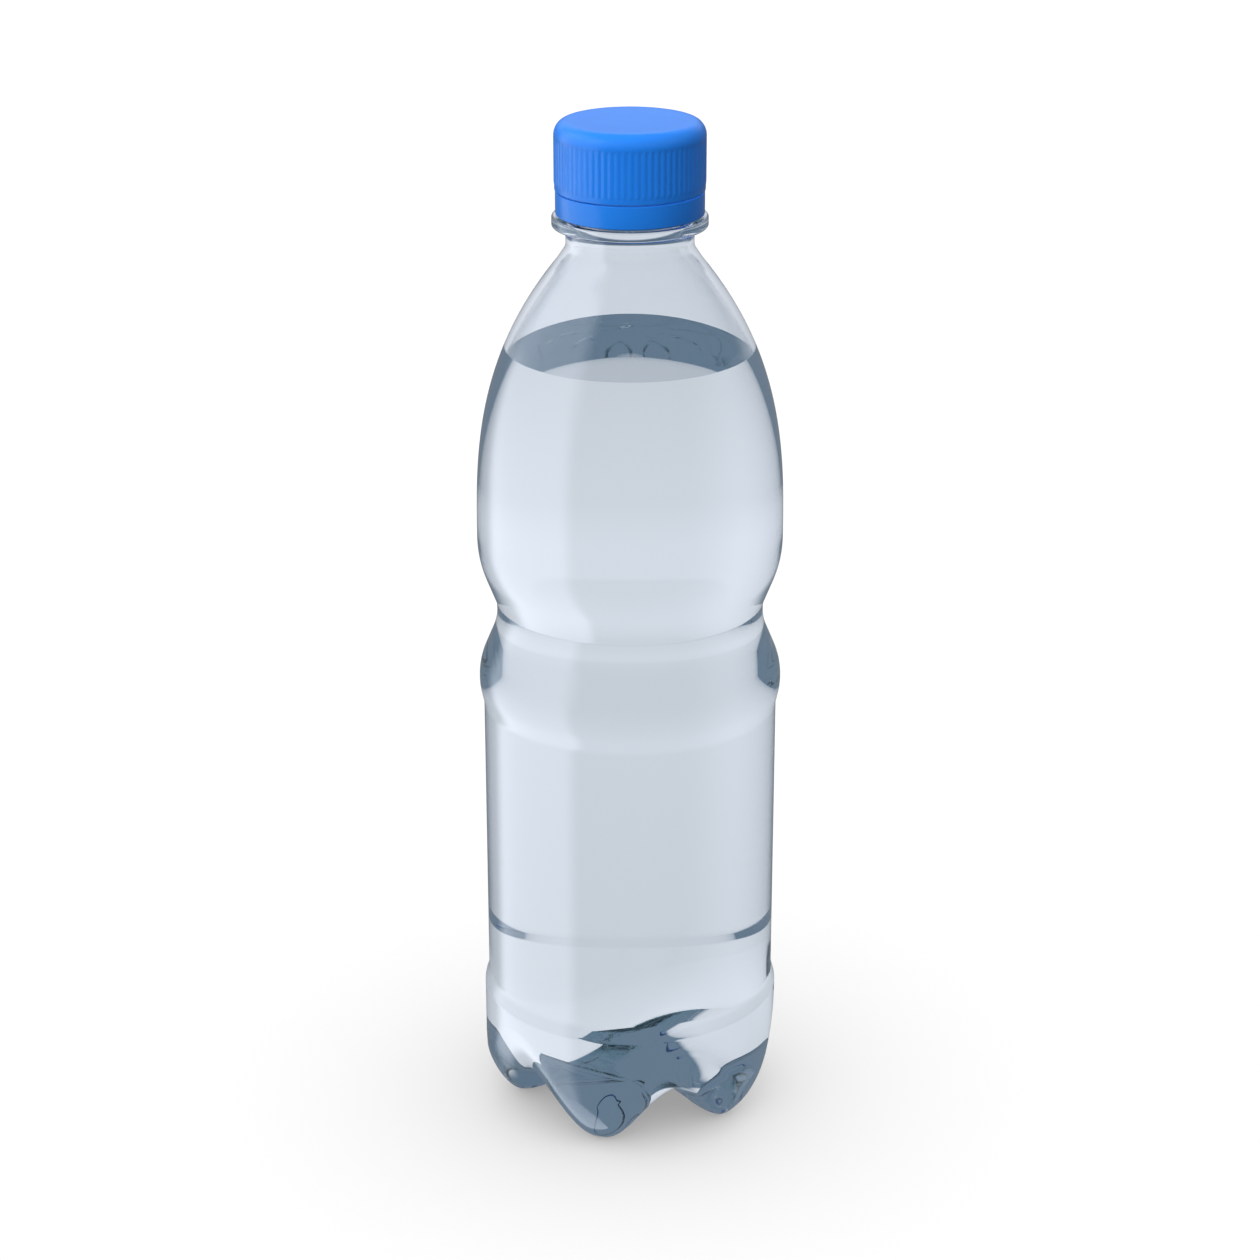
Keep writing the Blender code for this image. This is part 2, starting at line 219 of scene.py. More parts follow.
# Studio, as linear light. Bearings are in degrees to the left of the camera's own and elevations
# in degrees above the horizon. A pair is where a soft edge starts and where it ends.
STUDIO_TINT = (0.905, 0.96, 1.06)
PALE_WALL = 0.725
DIM_SIDES = 0.28

# Seen through the clear pieces.
WALL_SEEN = (90, 120)
WALL_IN_FRONT = (85, 55)
WALL_GLOW = (10, 30)
WALL_GLOW_LIGHT = (1.0, 1.13)
FLOOR_FALL = (-35, -8)
FLOOR_FALL_LIGHT = (0.94, 1.12)
SLATE = (0.096, 0.159, 0.235)
SLATE_ABOVE = (4, 13)
SLATE_TRAPPED = (0.131, 0.191, 0.268)
DEEP_FACES = 4.5

# Mirrored in them.
WALL_MIRRORED = (126, 150)
DARK_TABLE = 0.22
HORIZON = (4, 16)
SOFTBOX = 2.3
SOFTBOX_NEAR = (36, 58)
SOFTBOX_FAR = (142, 112)
SOFTBOX_TOP = (45, 58)
DIM_ROOM = (0.25, 0.25, 0.27)

# Floor: its half width in metres and its colour. Its painted contact shadow, a patch that glows slate
# to rays through the bottle, goes from one distance off the axis to the other, and thins by e to the
# minus of the fade.
FLOOR_HALF = 8.0
SHADOW_REACH = (20 * MM, 55 * MM)
SHADOW_FADE = (0.9, 4.5)
FLOOR_SHADE = "#e0e0e0"

MOST_BOUNCES = 128

# Lamps: bearing to the left of the camera's, elevation, width across in degrees, and strength.
LAMPS = {
    "dome": (0, 88, 150, 3.2),
    "key": (42, 32, 50, 2.5),
}


# ---------------------------------------------------------------------------------------- shapes


def bezier(points, steps):
    """Points of a Bezier curve: a sum of its control points under Bernstein weights."""
    points = np.array(points, dtype=float)
    degree = len(points) - 1
    t = np.linspace(0.0, 1.0, steps + 1)[:, None]
    weights = [math.comb(degree, k) * t**k * (1 - t) ** (degree - k) for k in range(degree + 1)]
    return sum(weight * point for weight, point in zip(weights, points))


def rounded(corners, steps=8):
    """An outline of (radius, height, reach) corners, each rounded over its reach by a parabola."""
    path = [np.array([corners[0][:2]])]
    for before, here, after in zip(corners, corners[1:], corners[2:]):
        corner = np.array(here[:2])
        if here[2] == 0.0:
            path.append(corner[None])
            continue
        back = np.array(before[:2]) - corner
        forward = np.array(after[:2]) - corner
        start = corner + back / np.linalg.norm(back) * here[2]
        end = corner + forward / np.linalg.norm(forward) * here[2]
        path.append(bezier((start, corner, end), steps))
    path.append(np.array([corners[-1][:2]]))
    return np.concatenate(path)


def refined(path, longest):
    """The same outline with no stretch longer than a given length."""
    pieces = [path[:1]]
    for start, end in zip(path, path[1:]):
        count = max(1, math.ceil(np.linalg.norm(end - start) / longest))
        pieces.append(start + (end - start) * np.linspace(0.0, 1.0, count + 1)[1:, None])
    return np.concatenate(pieces)


def column_angles(columns):
    """Angles round the axis: a full turn in equal steps from the front."""
    return FRONT + TURN * np.arange(columns) / columns


def around_axis(radius, angles, height):
    """Points at x = radius times cos angle, y = radius times sin angle, z = height."""
    return np.stack(np.broadcast_arrays(radius * np.cos(angles), radius * np.sin(angles), height), axis=2)


def turned(path, angles):
    """Grid of an outline turned about the axis: each point becomes a ring."""
    radius, height = np.array(path).T[:, :, None]
    return around_axis(radius, angles, height)


def inset(grid, depth):
    """Each point moved inwards, along the cross product of its ring and its column, by depth."""
    around = np.roll(grid, -1, axis=1) - np.roll(grid, 1, axis=1)
    along = np.gradient(grid, axis=0)
    outward = np.cross(around, along)
    outward /= np.linalg.norm(outward, axis=2)[:, :, None]
    return grid - outward * np.asarray(depth)[:, None, None]


def closed_mesh(name, grid, joined=False, second_finish=None):
    """Mesh of a grid: quads between rings, and either a fan to the axis at both ends or, joined,
    quads from the last ring back to the first. From the ring second_finish on, to the last pole,
    the faces take the piece's second material."""
    rings, columns = grid.shape[:2]
    ring = np.arange(rings if joined else rings - 1)[:, None]
    column = np.arange(columns)[None, :]
    above = (ring + 1) % rings
    after = (column + 1) % columns
    lower = ring * columns
    upper = above * columns
    corners = np.broadcast_arrays(lower + column, lower + after, upper + after, upper + column)
    quads = np.stack(corners, axis=2).reshape(-1, 4)
    points = grid.reshape(-1, 3)
    triangles = []
    if not joined:
        poles = np.array(((0.0, 0.0, grid[0, :, 2].mean()), (0.0, 0.0, grid[-1, :, 2].mean())))
        first, last = len(points), len(points) + 1
        points = np.concatenate((points, poles))
        column, after = column.ravel(), after.ravel()
        top = (rings - 1) * columns
        start = np.stack((np.full(columns, first), after, column), axis=1)
        end = np.stack((np.full(columns, last), top + column, top + after), axis=1)
        triangles = np.concatenate((start, end)).tolist()
    mesh = bpy.data.meshes.new(name)
    mesh.from_pydata(points.tolist(), [], quads.tolist() + triangles)
    if second_finish is not None:
        finish = np.zeros(len(mesh.polygons), dtype=np.int32)
        finish[second_finish * columns : len(quads)] = 1
        finish[len(quads) + columns :] = 1
        mesh.polygons.foreach_set("material_index", finish)
    mesh.update()
    mesh.shade_smooth()
    mesh.set_sharp_from_angle(angle=math.radians(40.0))
    return mesh


def add_piece(mesh, materials, body, node):
    """A piece that rides on a body and stands for a node, in the finish of a slot."""
    piece = bpy.data.objects.new(mesh.name, mesh)
    bpy.context.scene.collection.objects.link(piece)
    for material in materials:
        mesh.materials.append(material)
    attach(piece, body)
    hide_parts(node)
    return piece


# ---------------------------------------------------------------------------------------- bottle


def shoulder(heights):
    """Radius of the shoulder: the body's, less a power of the rise above the upper bulge."""
    rise = np.maximum(heights - SHOULDER_START, 0.0) / SHOULDER_SPAN
    return BODY_RADIUS - SHOULDER_DROP * rise**SHOULDER_POWER


def base_outline(first, second, side):
    """Outline of the base: two Bezier curves, then straight up its side in six points."""
    straight = np.linspace(side, BASE_END, 6)
    return np.concatenate((bezier(first, BASE_STEPS), bezier(second, BASE_STEPS), straight))


def petals():
    """Base: each column blends from the valley's outline to the foot's by half of 1 + cosine."""
    foot = base_outline(FOOT_FLANK, FOOT_TOE, FOOT_SIDE)
    valley = base_outline(VALLEY_FLOOR, VALLEY_RISE, VALLEY_SIDE)
    angles = column_angles(BOTTLE_COLUMNS)
    pitch = TURN / FEET
    from_foot = np.abs((angles - FRONT + pitch / 2) % pitch - pitch / 2)
    fade = np.clip((from_foot - PAD_HALF_ANGLE) / (pitch / 2 - PAD_HALF_ANGLE), 0.0, 1.0)
    weight = (0.5 + 0.5 * np.cos(math.pi * fade))[None, :, None]
    outline = valley[:, None, :] + weight * (foot - valley)[:, None, :]
    return around_axis(outline[:, :, 0], angles, outline[:, :, 1])


def body_outline():
    """Outer outline from the top of the base to the foot of the thread."""
    lower = rounded(
        (
            (BODY_RADIUS, BASE_TOP, 0),
            (BODY_RADIUS, STEP_FOOT, 0.35 * MM),
            (PANEL_RADIUS, STEP_TOP, 0.8 * MM),
            (PANEL_RADIUS, PANEL_TOP, 0.6 * MM),
            (BODY_RADIUS, MID_BULGE, 1.5 * MM),
            (BODY_RADIUS, MID_BULGE_TOP, 3.0 * MM),
            (WAIST_RADIUS, WAIST, 3.2 * MM),
            (CREASE_RADIUS, CREASE, 0.3 * MM),
            (BODY_RADIUS, UPPER_BULGE, 4.5 * MM),
            (BODY_RADIUS, SHOULDER_START, 0),
        )
    )
    heights = np.linspace(SHOULDER_START, SHOULDER_END, 41)[1:]
    slope = np.stack((shoulder(heights), heights), axis=1)
    neck = rounded(
        (
            (*slope[-1], 0),
            (NECK_RADIUS, NECK_FOOT, 0.8 * MM),
            (NECK_RADIUS, RING_BOTTOM, 0.3 * MM),
            (RING_RADIUS, RING_BOTTOM, 0.5 * MM),
            (RING_RADIUS, RING_TOP, 0.5 * MM),
            (COLLAR_RADIUS, RING_TOP, 0.2 * MM),
            (COLLAR_RADIUS, BEAD_BOTTOM, 0.1 * MM),
            (BEAD_RADIUS, BEAD_EDGE, 0.15 * MM),
            (BEAD_CREST_RADIUS, BEAD_CREST, 0.3 * MM),
            (THREAD_ROOT, BEAD_TOP, 0.2 * MM),
            (THREAD_ROOT, THREADED_FROM, 0),
        ),
        SMALL_STEPS,
    )
    return np.concatenate((lower, slope, neck[1:]))


def ridge(height, angle, bottom, turns, flat, foot):
    """Height of a helical ridge, 0 to 1: a trapezoid about the helix, faded in at both ends."""
    turned_by = angle / TURN
    lap = np.round((height - bottom) / THREAD_PITCH - turned_by)
    along = lap + turned_by
    off = np.abs(height - bottom - along * THREAD_PITCH)
    section = np.clip((foot / 2 - off) / (foot / 2 - flat / 2), 0.0, 1.0)
    ends = np.clip(np.minimum(along, turns - along) / THREAD_FADE, 0.0, 1.0)
    return section * ends


def threaded(path, angles, root, crest, bottom, turns, flat, foot):
    """Turned outline whose radius goes from root to crest along the ridge."""
    radius, height = path.T[:, :, None]
    rise = ridge(height, (angles - FRONT)[None, :], bottom, turns, flat, foot)
    return around_axis(radius + (crest - root) * rise, angles, height)


def wall_at(height):
    """Wall thickness up the body: thin below, thickening up the shoulder by 3 t^2 - 2 t^3."""
    t = np.clip((height - SHOULDER_WALL_FROM) / (SHOULDER_WALL_TO - SHOULDER_WALL_FROM), 0.0, 1.0)
    return WALL + (SHOULDER_WALL - WALL) * t**2 * (3 - 2 * t)


def inner_outline(top, step_in=0.0):
    """Inner outline of the body up to a height, with a point at the water's level, its wall
    thinned or thickened by step_in."""
    path = body_outline()
    path = path[path[:, 1] <= NECK_FOOT]
    level = (np.interp(WATER_LEVEL, path[:, 1], path[:, 0]), WATER_LEVEL)
    path = np.insert(path, np.searchsorted(path[:, 1], WATER_LEVEL), level, axis=0)
    path = path[(path[:, 1] > BASE_TOP) & (path[:, 1] <= top)]
    path[:, 0] -= wall_at(path[:, 1]) + step_in
    return path


def base_depths(count):
    """The wall from the dome out to the body: BASE_WALL fading evenly to WALL."""
    return np.linspace(BASE_WALL, WALL, count)


def build_bottle(dry, wetted):
    """Bottle: up the base, the body and the thread, over the lip and down the inside. The inside of
    the base is the outside moved in by its wall. Below the water's level the inside is wetted."""
    angles = column_angles(BOTTLE_COLUMNS)
    base = petals()
    outside = turned(body_outline()[1:], angles)
    thread = threaded(
        refined(np.array(((THREAD_ROOT, THREADED_FROM), (THREAD_ROOT, THREADED_TO))), THREAD_RINGS)[1:],
        angles,
        THREAD_ROOT,
        THREAD_CREST,
        THREAD_BOTTOM,
        THREAD_TURNS,
        THREAD_FLAT,
        THREAD_FOOT,
    )
    inside = inner_outline(SHOULDER_END)[::-1]
    lip = rounded(
        (
            (THREAD_ROOT, THREADED_TO - 0.1 * MM, 0),
            (THREAD_ROOT, LIP, 0.5 * MM),
            (BORE_RADIUS, LIP, 0.4 * MM),
            (BORE_RADIUS, BORE_FOOT, 1.2 * MM),
            (NECK_INNER, NECK_INNER_TOP, 1.2 * MM),
            (NECK_INNER, NECK_INNER_FOOT, 1.2 * MM),
            (*inside[0], 0),
        ),
        SMALL_STEPS,
    )[1:-1]
    inner_base = inset(base, base_depths(len(base)))[::-1]
    grid = np.concatenate((base, outside, thread, turned(lip, angles), turned(inside, angles), inner_base))
    first_wetted = len(grid) - len(inner_base) - np.count_nonzero(inside[:, 1] <= WATER_LEVEL)
    mesh = closed_mesh("pet_bottle", grid, second_finish=first_wetted)
    return add_piece(mesh, (dry, wetted), "bottle", "bottle_shell")


def build_water(surface, side):
    """Drink: a level surface, then down the bottle's inner wall, let a little way into it so that
    no air shows between them."""
    angles = column_angles(BOTTLE_COLUMNS)
    outer_base = petals()
    base = inset(outer_base, base_depths(len(outer_base)) - WATER_SUNK)
    wall = inner_outline(WATER_LEVEL, -WATER_SUNK)
    level = refined(np.array(((POLE_RADIUS, WATER_LEVEL), wall[-1])), WATER_RINGS)
    grid = np.concatenate((turned(level, angles), turned(wall[-2::-1], angles), base[::-1]))[:, ::-1]
    mesh = closed_mesh("drink", grid, second_finish=len(level) - 1)
    return add_piece(mesh, (surface, side), "bottle", "water")


# ------------------------------------------------------------------------------------------- cap


def build_cap(material):
    """Cap: inside wall with its thread, skirt whose radius swells at each rib as a raised cosine
    to a power, an edge that is a quarter of an ellipse, and a top that a parabola dishes."""
    angles = column_angles(CAP_COLUMNS)
    ceiling = CAP_TOP - CAP_LID
    groove = CAP_RADIUS - RIB_DEPTH
    inner = rounded(
        (
            (POLE_RADIUS, ceiling, 0),
            (CAP_INNER, ceiling, 0.4 * MM),
            (CAP_INNER, CAP_THREADED_FROM, 0),
        )
    )
    thread = threaded(
        refined(np.array(((CAP_INNER, CAP_THREADED_FROM), (CAP_INNER, CAP_THREADED_TO))), THREAD_RINGS)[1:],
        angles,
        CAP_INNER,
        CAP_THREAD_CREST,
        CAP_THREAD_BOTTOM,
        CAP_THREAD_TURNS,
        CAP_THREAD_FLAT,
        CAP_THREAD_FOOT,
    )
    hem = rounded(
        (
            (CAP_INNER, CAP_THREADED_TO - 0.1 * MM, 0),
            (CAP_INNER, CAP_BOTTOM, 0.15 * MM),
            (groove, CAP_BOTTOM, 0.15 * MM),
            (groove, RIB_BOTTOM - 0.1 * MM, 0),
        ),
        HEM_STEPS,
    )
    skirt = refined(np.array(((groove, RIB_BOTTOM), (groove, RIB_TOP))), RIB_RINGS)
    ribbed = turned(skirt, angles)
    lower = np.clip((skirt[:, 1] - RIB_BOTTOM) / RIB_FADE_BELOW, 0.0, 1.0)
    upper = np.clip((RIB_TOP - skirt[:, 1]) / RIB_FADE_ABOVE, 0.0, 1.0)
    wave = (0.5 + 0.5 * np.cos(RIBS * (angles - FRONT))) ** RIB_FULLNESS
    swell = RIB_DEPTH * (1 - upper[:, None] * (1 - wave[None, :])) * lower[:, None]
    ribbed[:, :, :2] *= (1 + swell / groove)[:, :, None]
    turn = np.linspace(0.0, math.pi / 2, 13)[1:]
    edge = np.stack(
        (
            CAP_RADIUS - CAP_EDGE_WIDTH * (1 - np.cos(turn)),
            RIB_TOP + (CAP_TOP - RIB_TOP) * np.sin(turn),
        ),
        axis=1,
    )
    dish_radius = np.linspace(edge[-1, 0], POLE_RADIUS, 12)[1:]
    dish = CAP_DISH * (1 - (dish_radius / edge[-1, 0]) ** 2)
    top = np.concatenate((edge, np.stack((dish_radius, CAP_TOP - dish), axis=1)))
    grid = np.concatenate(
        (turned(inner, angles), thread, turned(hem, angles), ribbed, turned(top, angles))
    )
    return add_piece(closed_mesh("blue_cap", grid), (material,), "cap", "screw_cap")


def build_band(material):
    """Band: a ring with rounded edges whose inner lip turns in under the neck's bead."""
    path = rounded(
        (
            (BAND_RADIUS - 0.6 * MM, BAND_BOTTOM, 0),
            (BAND_RADIUS, BAND_BOTTOM, 0.35 * MM),
            (BAND_RADIUS, BAND_TOP, 0.2 * MM),
            (BAND_INNER, BAND_TOP, 0.15 * MM),
            (BAND_INNER, BAND_BEND, 0.15 * MM),
            (BAND_FLAP, BAND_FLAP_TOP, 0.15 * MM),
            (BAND_FLAP, BAND_FLAP_BOTTOM, 0.2 * MM),
            (BAND_INNER, BAND_BOTTOM, 0.2 * MM),
            (BAND_INNER + 0.3 * MM, BAND_BOTTOM, 0),
        ),
        SMALL_STEPS,
    )
    mesh = closed_mesh("blue_band", turned(path, column_angles(BAND_COLUMNS)), joined=True)
    return add_piece(mesh, (material,), "bottle", "tamper_band")


def build_liner(material):
    """Liner: a disc whose underside is pressed in by a bell curve of the radius, where it meets the
    lip."""
    ring = 0.5 * (BORE_RADIUS + THREAD_ROOT)
    radius = np.linspace(POLE_RADIUS, LINER_RADIUS - 0.15 * MM, 60)
    press = LINER_PRESS * np.exp(-(((radius - ring) / LINER_PRESS_WIDTH) ** 2))
    under = np.stack((radius, LINER_BOTTOM + press), axis=1)
    rim = rounded(
        (
            (LINER_RADIUS - 0.15 * MM, LINER_BOTTOM, 0),
            (LINER_RADIUS, LINER_BOTTOM, 0.12 * MM),
            (LINER_RADIUS, LINER_TOP, 0.12 * MM),
            (POLE_RADIUS, LINER_TOP, 0),
        ),
        HEM_STEPS,
    )[1:]
    mesh = closed_mesh("foam_liner", turned(np.concatenate((under, rim)), column_angles(LINER_COLUMNS)))
    return add_piece(mesh, (material,), "liner", "cap_liner")


# ------------------------------------------------------------------------------------- materials


def srgb(hex_code):
    """Linear RGBA of an sRGB hex colour."""
    channels = [int(hex_code[i : i + 2], 16) / 255 for i in (1, 3, 5)]
    linear = [c / 12.92 if c <= 0.04045 else ((c + 0.055) / 1.055) ** 2.4 for c in channels]
    return (*linear, 1.0)


def add_node(owner, kind, settings=None, inputs=None, links=None):
    """A node of a kind in a material or world, with its settings, its input values and links
    {input: (node, output)}."""
    node = owner.node_tree.nodes.new(kind)
    for key, value in (settings or {}).items():
        setattr(node, key, value)
    for key, value in (inputs or {}).items():
        node.inputs[key].default_value = value
    for key, (source, output) in (links or {}).items():
        owner.node_tree.links.new(source.outputs[output], node.inputs[key])
    return node


def new_material(name):
    """A node material with nothing in it yet."""
    material = bpy.data.materials.new(name)
    material.use_nodes = True
    material.node_tree.nodes.clear()
    return material


def blow_moulded_pet(name, tint, bending):
    """Clear PET blown into a polished mould: glass-bright, with a faint slow waviness where the
    preform stretched unevenly."""
    material = new_material(name)
    place = add_node(material, "ShaderNodeTexCoord")
    waves = add_node(
        material,
        "ShaderNodeTexNoise",
        inputs={"Scale": PET_WAVES, "Detail": 1.0, "Roughness": 0.4},
        links={"Vector": (place, "Object")},
    )
    bump = add_node(
        material,
        "ShaderNodeBump",
        inputs={"Strength": 0.015, "Distance": 1 * MM},
        links={"Height": (waves, 0)},
    )
    shader = add_node(
        material,
        "ShaderNodeBsdfPrincipled",
        inputs={"Base Color": srgb(tint), "Roughness": 0.0, "IOR": bending, "Transmission Weight": 1.0},
        links={"Normal": (bump, 0)},
    )
    add_node(material, "ShaderNodeOutputMaterial", links={"Surface": (shader, 0)})
    return material


def still_water(name, tint, deeper, bending):
    """Still drinking water: colourless at a glance and mirror-smooth, with the faintest of slow
    swells across its surface."""
    material = new_material(name)
    place = add_node(material, "ShaderNodeTexCoord")
    swell = add_node(
        material,
        "ShaderNodeTexNoise",
        inputs={"Scale": WATER_SWELLS, "Detail": 0.0},
        links={"Vector": (place, "Object")},
    )
    tone = add_node(
        material,
        "ShaderNodeMix",
        {"data_type": "RGBA"},
        {"A": srgb(tint), "B": srgb(deeper)},
        {"Factor": (swell, 0)},
    )
    bump = add_node(
        material,
        "ShaderNodeBump",
        inputs={"Strength": 0.01, "Distance": 1 * MM},
        links={"Height": (swell, 0)},
    )
    shader = add_node(
        material,
        "ShaderNodeBsdfPrincipled",
        inputs={"Roughness": 0.0, "IOR": bending, "Transmission Weight": 1.0},
        links={"Base Color": (tone, MIXED), "Normal": (bump, 0)},
    )
    add_node(material, "ShaderNodeOutputMaterial", links={"Surface": (shader, 0)})
    return material


def moulded_polyethylene(name, colour, shade):
    """Injection-moulded blue HDPE: satin, slightly translucent, with a fine grain from the mould and
    a faint cloudiness where the colour is mixed in."""
    material = new_material(name)
    place = add_node(material, "ShaderNodeTexCoord")
    cloud = add_node(
        material,
        "ShaderNodeTexNoise",
        inputs={"Scale": BLUE_CLOUDS, "Detail": 3.0},
        links={"Vector": (place, "Object")},
    )
    tone = add_node(
        material,
        "ShaderNodeMix",
        {"data_type": "RGBA"},
        {"A": srgb(colour), "B": srgb(shade)},
        {"Factor": (cloud, 0)},
    )
    grain = add_node(
        material,
        "ShaderNodeTexNoise",
        inputs={"Scale": MOULD_GRAINS, "Detail": 2.0},
        links={"Vector": (place, "Object")},
    )
    bump = add_node(
        material,
        "ShaderNodeBump",
        inputs={"Strength": 0.12, "Distance": 0.05 * MM},
        links={"Height": (grain, 0)},
    )
    shader = add_node(
        material,
        "ShaderNodeBsdfPrincipled",
        inputs={
            "Roughness": 0.24,
            "IOR": 1.54,
            "Specular IOR Level": 0.24,
            "Subsurface Weight": 0.15,
            "Subsurface Radius": (0.2, 0.5, 1.0),
            "Subsurface Scale": 0.6 * MM,
        },
        links={"Base Color": (tone, MIXED), "Normal": (bump, 0)},
    )
    add_node(material, "ShaderNodeOutputMaterial", links={"Surface": (shader, 0)})
    return material


def foamed_liner():
    """Foamed polyethylene disc, die-cut: matt white with fine closed cells."""
    material = new_material("foamed polyethylene liner")
    place = add_node(material, "ShaderNodeTexCoord")
    cells = add_node(
        material,
        "ShaderNodeTexVoronoi",
        inputs={"Scale": FOAM_CELLS},
        links={"Vector": (place, "Object")},
    )
    tone = add_node(
        material,
        "ShaderNodeMix",
        {"data_type": "RGBA"},
        {"A": srgb("#eceeee"), "B": srgb("#f8f9f9")},
        {"Factor": (cells, 0)},
    )
    bump = add_node(
        material,
        "ShaderNodeBump",
        inputs={"Strength": 0.25, "Distance": 0.1 * MM},
        links={"Height": (cells, 0)},
    )
    shader = add_node(
        material,
        "ShaderNodeBsdfPrincipled",
        inputs={"Roughness": 0.7},
        links={"Base Color": (tone, MIXED), "Normal": (bump, 0)},
    )
    add_node(material, "ShaderNodeOutputMaterial", links={"Surface": (shader, 0)})
    return material


# ------------------------------------------------------------------------------------------ stage


def add_camera():
    """Camera above the cap and a little to the right of the front foot, looking down at the middle
    of the bottle."""
    camera = bpy.data.objects.new("camera", bpy.data.cameras.new("camera"))
    camera.data.sensor_width = SENSOR
    camera.data.lens = LENS
    camera.location = (
        math.sin(CAMERA_AZIMUTH) * CAMERA_DISTANCE,
        -math.cos(CAMERA_AZIMUTH) * CAMERA_DISTANCE,
        CAMERA_HEIGHT,
    )
    view = Vector((0, 0, LOOK_AT_HEIGHT)) - camera.location
    camera.rotation_euler = view.to_track_quat("-Z", "Y").to_euler()
    bpy.context.scene.collection.objects.link(camera)
    bpy.context.scene.camera = camera


def matt_paper():
    """Matt white paper. To rays that come through the bottle it is only a painted contact shadow, a
    patch that glows slate and thins outwards, and past that the light of the studio."""
    material = new_material("matt white paper floor")
    seen_by = add_node(material, "ShaderNodeLightPath")
    place = add_node(material, "ShaderNodeTexCoord")
    reach = add_node(
        material, "ShaderNodeVectorMath", {"operation": "LENGTH"}, links={0: (place, "Object")}
    )
    near, far = SHADOW_REACH
    least, most = SHADOW_FADE
    fading = add_node(
        material,
        "ShaderNodeMapRange",
        inputs={"From Min": near, "From Max": far, "To Min": -least, "To Max": -most},
        links={"Value": (reach, "Value")},
    )
    depth = add_node(material, "ShaderNodeMath", {"operation": "EXPONENT"}, links={0: (fading, 0)})
    # Painted contact shadow: the floor glows slate here, to rays through the bottle only.
    shadow = add_node(material, "ShaderNodeEmission", inputs={"Color": (*SLATE_TRAPPED, 1.0)})
    gone = add_node(material, "ShaderNodeBsdfTransparent")
    hidden = add_node(
        material, "ShaderNodeMixShader", links={0: (depth, 0), 1: (gone, 0), 2: (shadow, 0)}
    )
    paper = add_node(material, "ShaderNodeBsdfDiffuse", inputs={"Color": srgb(FLOOR_SHADE)})
    shader = add_node(
        material,
        "ShaderNodeMixShader",
        links={0: (seen_by, "Is Camera Ray"), 1: (hidden, 0), 2: (paper, 0)},
    )
    add_node(material, "ShaderNodeOutputMaterial", links={"Surface": (shader, 0)})
    return material


def add_floor():
    """Pale floor, wide enough to fill every view."""
    corners = [(x * FLOOR_HALF, y * FLOOR_HALF, 0) for x, y in ((-1, -1), (1, -1), (1, 1), (-1, 1))]
    mesh = bpy.data.meshes.new("floor")
    mesh.from_pydata(corners, [], [(0, 1, 2, 3)])
    mesh.materials.append(matt_paper())
    floor = bpy.data.objects.new("floor", mesh)
    bpy.context.scene.collection.objects.link(floor)


def add_lamps():
    """Wide soft lights for the cap and the floor, which are not seen in the clear pieces. Only the
    dome casts a shadow."""
    for name, (bearing, elevation, width, strength) in LAMPS.items():
        lamp = bpy.data.lights.new(name, "SUN")
        lamp.angle = math.radians(width)
        lamp.energy = strength
        lamp.use_shadow = name == "dome"
        light = bpy.data.objects.new(name, lamp)
        azimuth = CAMERA_AZIMUTH - math.radians(bearing)
        rise = math.radians(elevation)
        away = (math.sin(azimuth) * math.cos(rise), -math.cos(azimuth) * math.cos(rise), math.sin(rise))
        light.location = away
        light.rotation_euler = Vector(away).to_track_quat("Z", "Y").to_euler()
        light.visible_glossy = False
        light.visible_transmission = False
        bpy.context.scene.collection.objects.link(light)


def sines(edge):
    """Distances along an axis of the unit sphere, of a pair of angles up from its equator."""
    return tuple(math.sin(math.radians(angle)) for angle in edge)


def bearings(edge):
    """A pair of bearings in radians."""
    return tuple(math.radians(bearing) for bearing in edge)


def studio_edges(world):
    """The soft edges of the studio by name. Each goes from one level to another as a direction's
    height, side or bearing crosses the edge, by 3 t^2 - 2 t^3."""
    place = add_node(world, "ShaderNodeTexCoord")
    from_camera = add_node(
        world,
        "ShaderNodeMapping",
        inputs={"Rotation": (0.0, 0.0, math.pi - CAMERA_AZIMUTH)},
        links={"Vector": (place, "Generated")},
    )
    axes = add_node(world, "ShaderNodeSeparateXYZ", links={"Vector": (from_camera, 0)})
    bearing = add_node(
        world, "ShaderNodeMath", {"operation": "ARCTAN2"}, links={0: (axes, "X"), 1: (axes, "Y")}
    )
    off_camera = add_node(world, "ShaderNodeMath", {"operation": "ABSOLUTE"}, links={0: (bearing, 0)})
    whole = (0.0, 1.0)
    wall = (DIM_SIDES, PALE_WALL)
    edges = {
        "wall": ((off_camera, 0), bearings(WALL_SEEN), wall),
        "wall in front": ((off_camera, 0), bearings(WALL_IN_FRONT), (0.0, PALE_WALL)),
        "glow": ((axes, "X"), sines(WALL_GLOW), WALL_GLOW_LIGHT),
        "floor fall": ((axes, "Z"), sines(FLOOR_FALL), FLOOR_FALL_LIGHT),
        "slate": ((axes, "Z"), sines(SLATE_ABOVE), whole),
        "mirrored wall": ((off_camera, 0), bearings(WALL_MIRRORED), wall),
        "horizon": ((axes, "Z"), sines(HORIZON), whole),
        "softbox near": ((bearing, 0), bearings(SOFTBOX_NEAR), whole),
        "softbox far": ((bearing, 0), bearings(SOFTBOX_FAR), whole),
        "softbox top": ((axes, "Z"), sines(SOFTBOX_TOP), whole),
    }
    steps = {}
    for name, (value, (start, end), (first, last)) in edges.items():
        step = add_node(
            world,
            "ShaderNodeMapRange",
            {"interpolation_type": "SMOOTHSTEP"},
            {"From Min": start, "From Max": end, "To Min": first, "To Max": last},
            {"Value": value},
        )
        steps[name] = (step, 0)
    return steps


